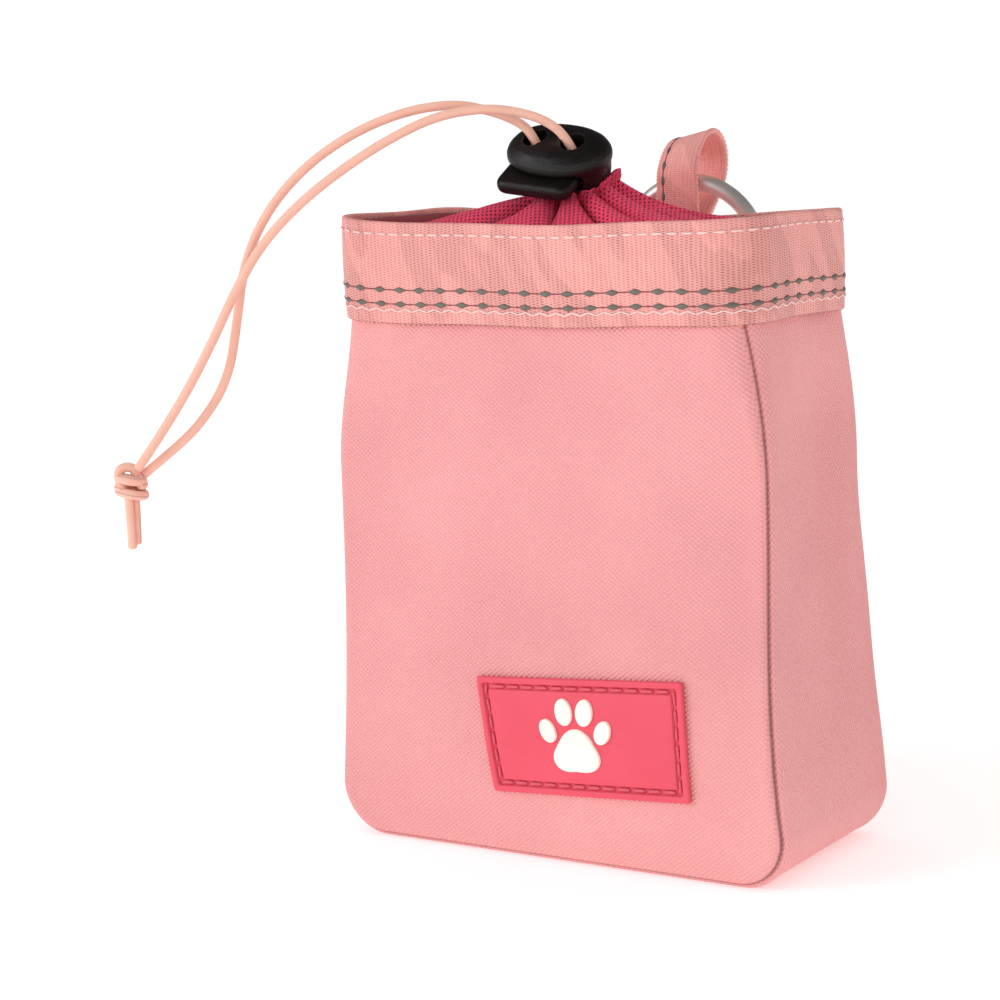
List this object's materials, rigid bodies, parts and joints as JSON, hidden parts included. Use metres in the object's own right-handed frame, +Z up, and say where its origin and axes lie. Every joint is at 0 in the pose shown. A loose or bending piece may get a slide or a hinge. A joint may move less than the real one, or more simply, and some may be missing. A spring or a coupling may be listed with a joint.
{
  "type": "treat pouch",
  "caption": "Boxy coated-fabric treat pouch with a webbing rim, a drawstring mesh collar closed by a cord lock, and a ring on a webbing loop.",
  "frame": {"origin": "middle of the flat base", "axes": "+Z up, front faces -Y, +X to the right seen from the front"},
  "size_m": [0.1624, 0.1195, 0.1864],
  "materials": {
    "coated_fabric": "matte coated diamond weave, dusty pink",
    "webbing": "woven jacquard webbing, salmon",
    "lining_fabric": "smooth lining, crimson",
    "knit_mesh": "knitted mesh, crimson",
    "elastic_cord": "braided elastic cord, peach",
    "lock_plastic": "satin moulded black",
    "spring_steel": "drawn wire",
    "nickel": "satin nickel",
    "label_rubber": "soft matte coral rubber",
    "label_cream": "raised cream rubber",
    "pale_thread": "pale sewing thread",
    "red_thread": "dark coral sewing thread",
    "reflective_yarn": "dark grey reflective yarn"
  },
  "bodies": {
    "pouch": {"front_panel": "coated_fabric", "back_panel": "coated_fabric", "gusset": "coated_fabric", "rim_band": "webbing", "rim_facing": "coated_fabric", "lining": "lining_fabric", "mesh_collar": "knit_mesh", "band_top_stitching": "pale_thread", "reflective_yarn_upper": "reflective_yarn", "reflective_yarn_lower": "reflective_yarn", "band_hem_stitching": "pale_thread", "ring_loop": "webbing", "loop_bartack": "pale_thread", "loop_reflective_yarn": "reflective_yarn", "label_patch": "label_rubber", "label_stitching": "red_thread", "label_emblem": "label_cream"},
    "collar_top": {"collar_hem": "knit_mesh", "channel_cord": "elastic_cord"},
    "cord_lock": {"lock_body": "lock_plastic", "lock_spring": "spring_steel", "cord_legs": "elastic_cord", "drawcord_a": "elastic_cord", "drawcord_b": "elastic_cord", "cord_knot": "elastic_cord", "cord_tails": "elastic_cord"},
    "plunger": {"lock_plunger": "lock_plastic"},
    "clip_ring": {"ring": "nickel"}
  },
  "joints": [
    {"name": "collar_lift", "type": "slide", "parent": "pouch", "child": "collar_top", "axis": [0, 0, 1], "range_m": [0, 0.018], "deforming": ["mesh_collar"]},
    {"name": "lock_swivel", "type": "hinge", "parent": "collar_top", "child": "cord_lock", "pos_m": [-0.003, -0.006, 0.1704], "axis": [0, 0, 1], "range_deg": [-30, 30]},
    {"name": "plunger_press", "type": "slide", "parent": "cord_lock", "child": "plunger", "axis": [0, 0.866, 0.5], "range_m": [0, 0.003], "stiffness_N_per_m": 600, "deforming": ["lock_spring"]},
    {"name": "ring_swing", "type": "hinge", "parent": "pouch", "child": "clip_ring", "pos_m": [0.0083, 0.0344, 0.1636], "axis": [1, 0, 0], "range_deg": [0, 110]}
  ]
}
